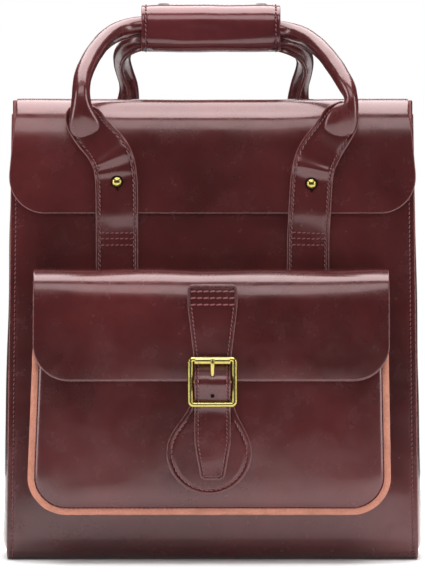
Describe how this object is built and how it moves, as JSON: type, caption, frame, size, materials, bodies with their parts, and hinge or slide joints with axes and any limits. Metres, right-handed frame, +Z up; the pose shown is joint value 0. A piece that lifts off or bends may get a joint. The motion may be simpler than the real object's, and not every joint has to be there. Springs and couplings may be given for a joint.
{
  "type": "satchel bag",
  "caption": "Glossy oxblood leather satchel with a fold-over flap, a buckled front pocket and two rolled handles joined by a grip wrap with press studs.",
  "frame": {"origin": "middle of the flat base, on the floor", "axes": "+X across the bag to the right as seen from its front, -Y to the front, +Z up"},
  "size_m": [0.326, 0.196, 0.4363],
  "materials": {
    "oxblood_leather": "gloss",
    "oxblood_leather_flap": "gloss",
    "oxblood_leather_straps": "gloss",
    "oxblood_leather_pocket": "gloss",
    "oxblood_leather_handles": "gloss",
    "oxblood_leather_grip": "gloss",
    "brass": "polished",
    "dark_metal": "satin",
    "board": "matt",
    "cord_core": "matt"
  },
  "bodies": {
    "bag_body": {"front_panel": "oxblood_leather", "back_panel": "oxblood_leather", "bottom_panel": "oxblood_leather", "gusset_left": "oxblood_leather", "gusset_right": "oxblood_leather", "base_board": "board", "flap_root": "oxblood_leather_flap", "front_strap_left": "oxblood_leather_straps", "front_strap_right": "oxblood_leather_straps", "rear_strap_left": "oxblood_leather_straps", "rear_strap_right": "oxblood_leather_straps", "pocket_front": "oxblood_leather_pocket", "pocket_gusset": "oxblood_leather_pocket", "buckle_chape": "oxblood_leather_pocket"},
    "main_flap": {"main_flap": "oxblood_leather_flap", "studs": "brass", "stud_backs": "brass"},
    "front_handle": {"front_strap_upper_left": "oxblood_leather_straps", "front_strap_upper_right": "oxblood_leather_straps", "front_tube": "oxblood_leather_handles", "front_core": "cord_core"},
    "rear_handle": {"rear_strap_upper_left": "oxblood_leather_straps", "rear_strap_upper_right": "oxblood_leather_straps", "rear_tube": "oxblood_leather_handles", "rear_core": "cord_core", "grip_wrap": "oxblood_leather_grip", "snap_posts": "dark_metal"},
    "grip_cover": {"grip_cover": "oxblood_leather_grip", "snap_caps": "dark_metal", "snap_sockets": "dark_metal"},
    "pocket_flap": {"pocket_flap": "oxblood_leather_pocket", "buckle_strap": "oxblood_leather_pocket"},
    "buckle_frame": {"buckle_frame": "brass", "chape_neck": "oxblood_leather_pocket"},
    "buckle_roller": {"buckle_roller": "brass"},
    "buckle_prong": {"buckle_prong": "brass"}
  },
  "joints": [
    {"name": "front_handle_swing", "type": "hinge", "parent": "bag_body", "child": "front_handle", "pos_m": [0, -0.06265, 0.2615], "axis": [1, 0, 0], "range_deg": [0, 70], "deforming": ["front_strap_upper_left", "front_strap_upper_right"]},
    {"name": "main_flap_fold", "type": "hinge", "parent": "bag_body", "child": "main_flap", "pos_m": [0, 0.0606, 0.3612], "axis": [-1, 0, 0], "range_deg": [0, 94.5]},
    {"name": "rear_handle_swing", "type": "hinge", "parent": "bag_body", "child": "rear_handle", "pos_m": [0, 0.0635, 0.32285], "axis": [-1, 0, 0], "range_deg": [0, 77]},
    {"name": "grip_cover_fold", "type": "hinge", "parent": "rear_handle", "child": "grip_cover", "pos_m": [0, 0, 0.3985], "axis": [1, 0, 0], "range_deg": [0, 119], "deforming": ["grip_cover"]},
    {"name": "pocket_flap_fold", "type": "hinge", "parent": "bag_body", "child": "pocket_flap", "pos_m": [0, -0.0608, 0.2276], "axis": [-1, 0, 0], "range_deg": [0, 60], "deforming": ["buckle_strap"]},
    {"name": "buckle_drop", "type": "hinge", "parent": "bag_body", "child": "buckle_frame", "pos_m": [0, -0.1065, 0.1195], "axis": [1, 0, 0], "range_deg": [0, 120], "deforming": ["chape_neck"]},
    {"name": "roller_spin", "type": "hinge", "parent": "buckle_frame", "child": "buckle_roller", "pos_m": [0, -0.111, 0.158], "axis": [1, 0, 0], "continuous": true},
    {"name": "prong_lift", "type": "hinge", "parent": "buckle_frame", "child": "buckle_prong", "pos_m": [0, -0.1095, 0.1417], "axis": [1, 0, 0], "range_deg": [0, 80]}
  ],
  "couplings": [
    {"joint": "main_flap_fold", "follows": "front_handle_swing", "ratio": 1.35},
    {"joint": "rear_handle_swing", "follows": "front_handle_swing", "ratio": 1.1},
    {"joint": "grip_cover_fold", "follows": "front_handle_swing", "ratio": 1.7},
    {"joint": "pocket_flap_fold", "follows": "buckle_drop", "ratio": 0.5}
  ]
}
